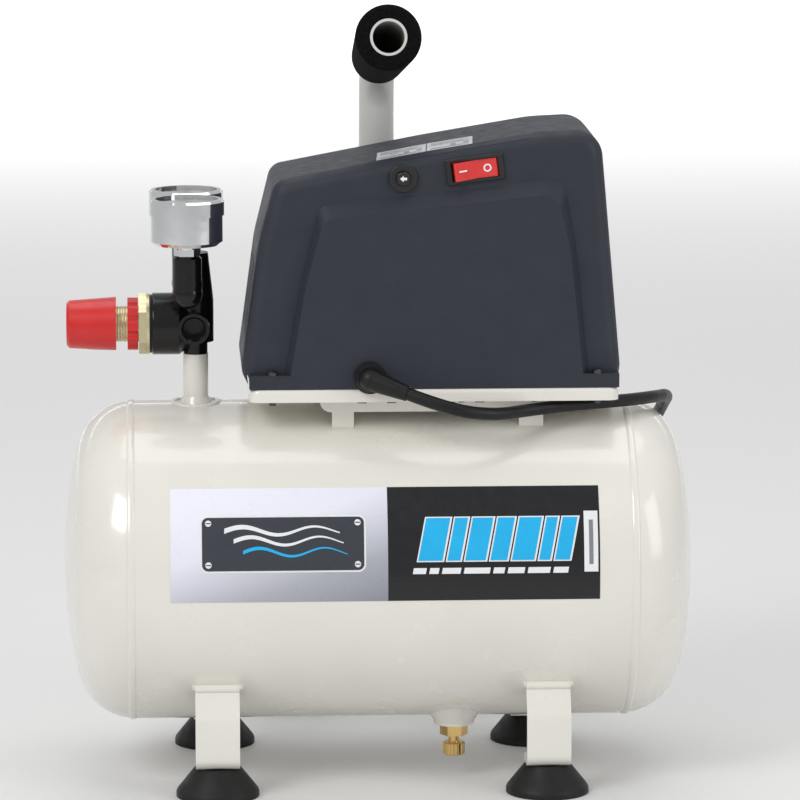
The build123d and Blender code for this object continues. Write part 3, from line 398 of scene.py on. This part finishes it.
def make_looks():
    gloss_paint("cream_paint", (0.80, 0.78, 0.715))
    gloss_paint("handle_paint", (0.60, 0.595, 0.57), 0.3)
    moulded_plastic("shroud_plastic", (0.026, 0.029, 0.043), 0.5, 1500, 0.00007, 0.35)
    moulded_plastic("black_plastic", (0.012, 0.012, 0.013), 0.42, 1800, 0.00005)
    moulded_plastic("fan_plastic", (0.03, 0.032, 0.036), 0.5, 1500, 0.00006)
    gloss_plastic("red_plastic", (0.60, 0.006, 0.006), 0.36, 0.03)
    gloss_plastic("rocker_red", (0.74, 0.035, 0.035), 0.16, 0.35)
    gloss_plastic("black_gloss", (0.010, 0.010, 0.011), 0.2)
    rubber("rubber", (0.007, 0.007, 0.007), 0.5)
    rubber("cord", (0.005, 0.005, 0.006), 0.4, 0.2)
    foam()
    machined_metal("brass", (0.72, 0.50, 0.20), 0.24, (1, 1, 0.06))
    machined_metal("regulator_brass", (0.66, 0.59, 0.38), 0.3, (0.06, 1, 1))
    machined_metal("zinc", (0.66, 0.66, 0.65), 0.3, (1, 1, 0.1))
    machined_metal("dark_steel", (0.10, 0.10, 0.11), 0.4, (1, 1, 0.1))
    machined_metal("shaft_steel", (0.52, 0.52, 0.53), 0.28, (1, 0.05, 0.05))
    cast_metal("cast_aluminium", (0.60, 0.61, 0.62), 0.42)
    chrome()
    black_casting()
    laminations()
    winding()
    lens()
    silver_film_painted_reflection()
    printed("dial_white", (0.86, 0.86, 0.83), 0.5, 0.0)
    printed("ink_black", (0.010, 0.010, 0.011), 0.45, 0.1)
    printed("ink_red", (0.55, 0.02, 0.02), 0.45, 0.1)
    printed("film_black", (0.003, 0.0035, 0.005), 0.3, 0.1)
    printed("film_cyan", (0.002, 0.45, 0.85), 0.3, 0.3)
    printed("film_white", (0.84, 0.85, 0.87), 0.3, 0.4)
    printed("nameplate_dark", (0.025, 0.032, 0.045), 0.25, 0.6)
    printed("sticker_silver", (0.62, 0.63, 0.68), 0.3, 0.4, 0.08)
    printed("sticker_grey", (0.22, 0.23, 0.26), 0.35, 0.3)
    printed("symbol_white", (0.88, 0.86, 0.86), 0.4, 0.2)


NODE_LOOKS = {
    "cream_paint": (
        "tank_shell", "tank_heads", "riser_pipe", "drain_bung", "leg_straps", "mounting_plate",
        "plate_bracket",
    ),
    "handle_paint": ("handle_tube",),
    "foam": ("handle_grip",),
    "rubber": ("suction_feet", "diaphragm", "cup_seal", "drain_seal"),
    "cord": ("strain_relief", "plug_body"),
    "shroud_plastic": ("shroud",),
    "black_plastic": (
        "switch_housing", "breaker_body", "pressure_switch", "intake_filter", "motor_capacitor",
    ),
    "fan_plastic": ("cooling_fan",),
    "rocker_red": ("switch_rocker",),
    "red_plastic": ("lock_ring", "regulator_knob"),
    "black_gloss": ("reset_button",),
    "zinc": (
        "machine_screws", "through_bolts", "adjuster_button", "regulator_spring",
        "safety_valve_ring", "shaft_bearings",
    ),
    "shaft_steel": ("motor_shaft", "eccentric"),
    "dark_steel": ("shroud_fasteners",),
    "brass": ("safety_valve_body", "drain_valve_body", "drain_thumb_screw", "check_valve", "plug_blades"),
    "regulator_brass": ("regulator_bonnet",),
    "black_casting": ("manifold_body",),
    "chrome": ("gauge_cases", "gauge_bezels"),
    "lens": ("gauge_lenses",),
    "dial_white": ("gauge_dials",),
    "ink_black": ("outlet_needle", "tank_needle"),
    "laminations": ("motor_stator", "motor_rotor"),
    "winding": ("motor_windings",),
    "cast_aluminium": (
        "rear_end_bell", "crankcase", "piston_rod", "cylinder", "valve_plate", "cylinder_head",
        "discharge_tube",
    ),
}


def paint_nodes():
    for look, names in NODE_LOOKS.items():
        for name in names:
            materials = nodes[name].data.materials
            materials.clear()
            materials.append(LOOKS[look])


# ---------------------------------------------------------------- thin printed shapes

def new_piece(name, mesh, look, body):
    piece = bpy.data.objects.new(name, mesh)
    scene.collection.objects.link(piece)
    mesh.materials.clear()
    mesh.materials.append(LOOKS[look])
    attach(piece, body)
    return piece


def rounded(x0, x1, y0, y1, r=0.0, steps=6):
    """Outline of a rectangle with round corners, anticlockwise."""
    if not r:
        return [(x0, y0), (x1, y0), (x1, y1), (x0, y1)]
    outline = []
    corners = ((x1 - r, y0 + r, -90), (x1 - r, y1 - r, 0), (x0 + r, y1 - r, 90), (x0 + r, y0 + r, 180))
    for cx, cy, start in corners:
        for k in range(steps + 1):
            angle = radians(start + 90 * k / steps)
            outline.append((cx + r * cos(angle), cy + r * sin(angle)))
    return outline


def slanted(x, y, width, height, lean=0.25):
    """A leaning bar from its lower left corner."""
    return [(x, y), (x + width, y), (x + width + lean * height, y + height), (x + lean * height, y + height)]


def ring(cx, cy, r_out, r_in, start=0.0, end=360.0, steps=32):
    """Quads of a flat ring or arc, as separate outlines."""
    pieces = []
    for k in range(steps):
        a, b = (radians(start + (end - start) * (k + i) / steps) for i in (0, 1))
        pieces.append([
            (cx + r_in * cos(a), cy + r_in * sin(a)), (cx + r_out * cos(a), cy + r_out * sin(a)),
            (cx + r_out * cos(b), cy + r_out * sin(b)), (cx + r_in * cos(b), cy + r_in * sin(b)),
        ])
    return pieces


def film(name, outlines, place, look, body, thickness=0.12 * MM, cut=0.0):
    """A thin closed sheet of flat outlines, in millimetres, bent onto the object by place(x, y) -> point.

    cut is the spacing, in millimetres, of the lines along which the sheet bends."""
    build = bmesh.new()
    for outline in outlines:
        build.faces.new([build.verts.new((x, y, 0)) for x, y in outline])
    bmesh.ops.remove_doubles(build, verts=build.verts, dist=0.001)
    if cut:
        for axis in (0, 1):
            low = min(v.co[axis] for v in build.verts)
            high = max(v.co[axis] for v in build.verts)
            direction = Vector((1 - axis, axis, 0))
            for k in range(int(low // cut) + 1, int(high // cut) + 1):
                bmesh.ops.bisect_plane(
                    build, geom=build.verts[:] + build.edges[:] + build.faces[:],
                    plane_co=direction * (k * cut), plane_no=direction,
                )
    for vert in build.verts:
        vert.co = place(vert.co.x, vert.co.y)
    bmesh.ops.recalc_face_normals(build, faces=build.faces)
    mesh = bpy.data.meshes.new(name)
    build.to_mesh(mesh)
    build.free()
    piece = new_piece(name, mesh, look, body)
    solid = piece.modifiers.new("thickness", "SOLIDIFY")
    solid.thickness = thickness
    solid.offset = 0
    return piece


def on_tank(lift):
    """Places label coordinates on the tank's front: x along it, y the arc height above its middle line."""
    r = tank_r / MM + lift

    def place(x, y):
        angle = y / (tank_r / MM)
        return Vector((x, -r * cos(angle), tank_z / MM + r * sin(angle))) * MM

    return place


def arc_height(z):
    """Arc height on the tank of a height above the floor, in millimetres."""
    return tank_r / MM * asin((z - tank_z / MM) / (tank_r / MM))


# ---------------------------------------------------------------- tank label

def tank_film(name, outlines, lift, look, cut=3.0):
    return film(name, outlines, on_tank(lift), look, "frame", cut=cut)


def make_label():
    low, high = arc_height(112.0), arc_height(171.0)
    # The silver half's colour carries a painted reflection, light above and shaded towards its lower right
    tank_film("label_silver", [rounded(-115, 1.8, low, high)], 0.12, "silver_film_painted_reflection")
    tank_film("label_black", [rounded(1.8, 116, low, high)], 0.12, "film_black")
    make_nameplate()
    make_label_bars()


def make_nameplate():
    """A dark plate on the silver half, with a wavy air motif and four slotted screws."""
    x0, x1 = -99.0, -10.0
    low, high = arc_height(128.0), arc_height(157.5)
    tank_film("nameplate_rim", [rounded(x0, x1, low, high, 4)], 0.26, "film_white")
    tank_film("nameplate_field", [rounded(x0 + 1, x1 - 1, low + 1, high - 1, 3.2)], 0.4, "nameplate_dark")
    for k, (x, y) in enumerate((x, y) for x in (x0 + 4.4, x1 - 4.4) for y in (low + 4.2, high - 4.2)):
        tank_film(f"nameplate_screw_{k}", [disc(x, y, 1.7)], 0.55, "film_white")
        tank_film(f"nameplate_slot_{k}", [slanted(x - 1.3, y - 0.25, 2.6, 0.5, 0)], 0.68, "ink_black")
    # Three wind lines, white over cyan
    middle = (low + high) / 2
    for k, (look, height) in enumerate((("film_white", 7.0), ("film_white", 1.5), ("film_cyan", -4.5))):
        band = wave(-86 + 5 * k, -24 + 2 * k, middle + height, 2.2, 2.8 - 0.4 * k)
        tank_film(f"nameplate_wave_{k}", band, 0.55, look)


def disc(x, y, r, steps=20):
    return [(x + r * cos(2 * pi * k / steps), y + r * sin(2 * pi * k / steps)) for k in range(steps)]


def wave(x0, x1, y, swing, width, steps=36):
    """A rippling band, as quads, that thins towards its right end."""
    def at(k):
        t = k / steps
        x = x0 + (x1 - x0) * t
        half = width / 2 * (1 - 0.75 * t)
        centre = y + swing * sin(3.2 * pi * t)
        return (x, centre - half), (x, centre + half)

    return [[at(k)[0], at(k + 1)[0], at(k + 1)[1], at(k)[1]] for k in range(steps)]


def make_label_bars():
    """Leaning cyan blocks and a thin white row below, in place of print, and a pale tag at the end."""
    low, high = arc_height(133.5), arc_height(155.5)
    height = high - low
    x = 18.0
    blocks = []
    rims = []
    for width in (13.0, 7.0, 11.0, 9.0, 12.0, 6.0, 8.0):
        blocks.append(slanted(x, low, width, height, 0.2))
        rims.append(slanted(x - 0.9, low - 0.7, width + 1.8, height + 1.4, 0.2))
        x += width + 2.6
    tank_film("label_block_rims", rims, 0.26, "film_white")
    tank_film("label_blocks", blocks, 0.4, "film_cyan")
    row = arc_height(126.5)
    dashes = []
    x = 15.0
    for width in (7.0, 5.0, 10.0, 14.0, 6.0, 9.0, 12.0, 8.0):
        dashes.append(slanted(x, row, width, 3.2, 0.2))
        x += width + 1.8
    tank_film("label_dashes", dashes, 0.26, "film_white")
    tank_film("label_tag", [rounded(107.5, 115.0, arc_height(127), arc_height(158.5))], 0.26, "film_white")
    tank_film("label_tag_bar", [rounded(110.2, 112.4, arc_height(131), arc_height(154))], 0.4, "sticker_grey")


# ---------------------------------------------------------------- printing on curved parts

def draped(node, origin, right, up, lift=0.1):
    """Places sheet coordinates by casting them onto a CAD part, along the sheet's own normal."""
    mesh = nodes[node].data
    world = nodes[node].matrix_world
    skin = BVHTree.FromPolygons([world @ v.co for v in mesh.vertices], [f.vertices for f in mesh.polygons])
    right, up = Vector(right).normalized(), Vector(up).normalized()
    outward = right.cross(up)

    def place(x, y):
        start = (Vector(origin) + right * x + up * y + outward * 30) * MM
        spot = skin.ray_cast(start, -outward, 0.2)[0] or start
        return spot + outward * lift * MM

    return place


def make_switch_marks():
    """A bar and a ring on the two ends of the rocker."""
    right = (cos(SWITCH_TILT), 0, sin(SWITCH_TILT))
    up = (-sin(SWITCH_TILT), 0, cos(SWITCH_TILT))
    face = draped("switch_rocker", SWITCH_CENTRE, right, up)
    film("mark_on", [rounded(-8.6, -4.4, -0.45, 0.45)], face, "symbol_white", "rocker", cut=1.0)
    film("mark_off", ring(6.8, 0, 2.2, 1.4, steps=20), face, "symbol_white", "rocker", cut=1.0)


def make_reset_mark():
    """A white arrow on the breaker's button."""
    face = draped("reset_button", BUTTON_CENTRE, (1, 0, 0), (0, 0, 1))
    arrow = [(-1.9, 0), (0.1, -1.7), (0.1, -0.7), (1.9, -0.7), (1.9, 0.7), (0.1, 0.7), (0.1, 1.7)]
    film("mark_reset", [arrow], face, "symbol_white", "reset_plunger")


def make_stickers():
    """Two silver stickers over the shroud's front top edge, with grey bars in place of print."""
    for k, (middle, width) in enumerate(((10.6, 27.0), (37.0, 25.0))):
        edge_y, edge_z = SHROUD_TOP_EDGE
        origin = (middle, edge_y, edge_z + SHROUD_TOP_SLOPE * middle)
        face = draped("shroud", origin, (1, 0, 0.128), (0, 0.7, 0.7), 0.12)
        inner = draped("shroud", origin, (1, 0, 0.128), (0, 0.7, 0.7), 0.24)
        half = width / 2
        sheet = rounded(-half, half, 6.0, 29.0, 0.4)
        film(f"sticker_{k}", [sheet], face, "sticker_silver", "frame", cut=1.5)
        bars = [
            rounded(-half + 2, half - 2 - 3 * (j % 2), y, y + 0.9)
            for j, y in enumerate((7.6, 9.8, 18.5, 21.5, 24.5))
        ]
        bars.append(rounded(half - 12, half - 9, 11.4, 16.6))
        bars.append(rounded(half - 5, half - 2, 11.4, 16.6))
        film(f"sticker_bars_{k}", bars, inner, "sticker_grey", "frame", cut=1.5)


# ---------------------------------------------------------------- gauge dials

GAUGES = (("outlet", -21.5), ("tank", 21.5))


def make_dials():
    """A 270 degree scale with long and short ticks and a red end on each dial."""
    for name, y in GAUGES:
        face = flat_on(Vector((DIAL_X, y, DIAL_Z)))
        scale = ring(0, 0, 15.4, 15.0, -45, 225, 45)
        for k in range(31):
            angle = radians(225 - 9 * k)
            long = k % 5 == 0
            scale.append(tick(angle, 11.6 if long else 13.2, 15.2, 0.32 if long else 0.14))
        film(f"{name}_scale", scale, face(0.05), "ink_black", "frame", thickness=0.04 * MM)
        danger = ring(0, 0, 16.7, 15.8, -45, 0, 12)
        film(f"{name}_danger", danger, face(0.05), "ink_red", "frame", thickness=0.04 * MM)


def flat_on(centre):
    """Makes placements onto a level dial: x to the right and y away from the front."""
    def at(lift):
        return lambda x, y: (centre + Vector((x, y, lift))) * MM

    return at


def tick(angle, r_in, r_out, half):
    """One scale line pointing at the centre."""
    along = Vector((cos(angle), sin(angle)))
    across = Vector((-sin(angle), cos(angle))) * half
    corners = (along * r_in - across, along * r_out - across, along * r_out + across, along * r_in + across)
    return [tuple(c) for c in corners]


# ---------------------------------------------------------------- welds

def bead(name, points, radius=1.5):
    """A rippled weld run through points, in millimetres."""
    curve = bpy.data.curves.new(name, "CURVE")
    curve.dimensions = "3D"
    curve.bevel_depth = radius * MM
    curve.bevel_resolution = 2
    curve.use_fill_caps = True
    spline = curve.splines.new("POLY")
    run = spread_points(points, radius * 0.6)
    spline.points.add(len(run) - 1)
    for k, (point, place) in enumerate(zip(spline.points, run)):
        point.co = (*(place * MM), 1)
        point.radius = (1.0, 0.92, 0.8, 0.92)[k % 4]
    piece = bpy.data.objects.new(name, curve)
    scene.collection.objects.link(piece)
    curve.materials.append(LOOKS["cream_paint"])
    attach(piece, "frame")


def spread_points(points, gap):
    """The same path with points at about even gaps."""
    run = []
    for a, b in zip(points, points[1:]):
        count = max(1, round((b - a).length / gap))
        run += [a.lerp(b, k / count) for k in range(count)]
    return run + [points[-1]]


def circle(x, y, z, r, steps=40):
    """A closed run of points round x, y."""
    turns = [2 * pi * k / steps for k in range(steps + 1)]
    return [Vector((x + r * cos(turn), y + r * sin(turn), z)) for turn in turns]


def on_barrel(x, y):
    """The point of the tank's upper side over x, y."""
    r = tank_r / MM
    return Vector((x, y, tank_z / MM + (r * r - y * y) ** 0.5))


def make_welds():
    """Welds at the tops of the leg straps and round the riser pipe."""
    r = tank_r / MM
    underside = tank_z / MM - (r * r - STRAP_WELD_Y * STRAP_WELD_Y) ** 0.5
    for x in (-STRAP_X, STRAP_X):
        for side in (-1, 1):
            ends = (x - STRAP_WELD_HALF, x + STRAP_WELD_HALF)
            run = [Vector((end, side * STRAP_WELD_Y, underside + 0.4)) for end in ends]
            bead(f"strap_weld_{x}_{side}", run, 2.4)
    ripple = [on_barrel(p.x, p.y) for p in circle(RISER_X, 0, 0, RISER_WELD_R)]
    bead("riser_weld", ripple, 1.4)


# ---------------------------------------------------------------- light and floor

def area_light(name, place, target, size, size_y, power):
    data = bpy.data.lights.new(name, "AREA")
    data.shape = "RECTANGLE"
    data.size = size
    data.size_y = size_y
    data.energy = power
    lamp = bpy.data.objects.new(name, data)
    lamp.location = place
    lamp.rotation_euler = (Vector(target) - Vector(place)).to_track_quat("-Z", "Y").to_euler()
    scene.collection.objects.link(lamp)


def make_studio():
    bpy.ops.mesh.primitive_plane_add(size=30)
    floor = bpy.context.object
    floor.name = "floor"
    look = Look("floor", 0.6)
    two_tone(look, (0.80, 0.80, 0.80), 0.5, 0.01)
    floor.data.materials.append(LOOKS["floor"])
    area_light("key", (-1.3, -1.5, 1.7), (0, 0, 0.2), 1.0, 1.0, 21)
    area_light("fill", (1.7, -1.2, 1.0), (0, 0, 0.2), 0.9, 1.4, 9)
    area_light("top", (0.1, 0.3, 1.9), (0, 0, 0.2), 1.6, 1.2, 9)
    area_light("backdrop", (0, 5.2, 1.7), (0, 5.6, 0), 6.0, 4.0, 150)
    world = bpy.data.worlds.new("world")
    scene.world = world
    world.use_nodes = True
    world.node_tree.nodes["Background"].inputs["Color"].default_value = (1, 1, 1, 1)
    world.node_tree.nodes["Background"].inputs["Strength"].default_value = 0.55
    scene.view_settings.view_transform = "Standard"


# ---------------------------------------------------------------- run

make_camera()
make_looks()
make_cord()
paint_nodes()
make_label()
make_switch_marks()
make_reset_mark()
make_stickers()
make_dials()
make_welds()
make_studio()
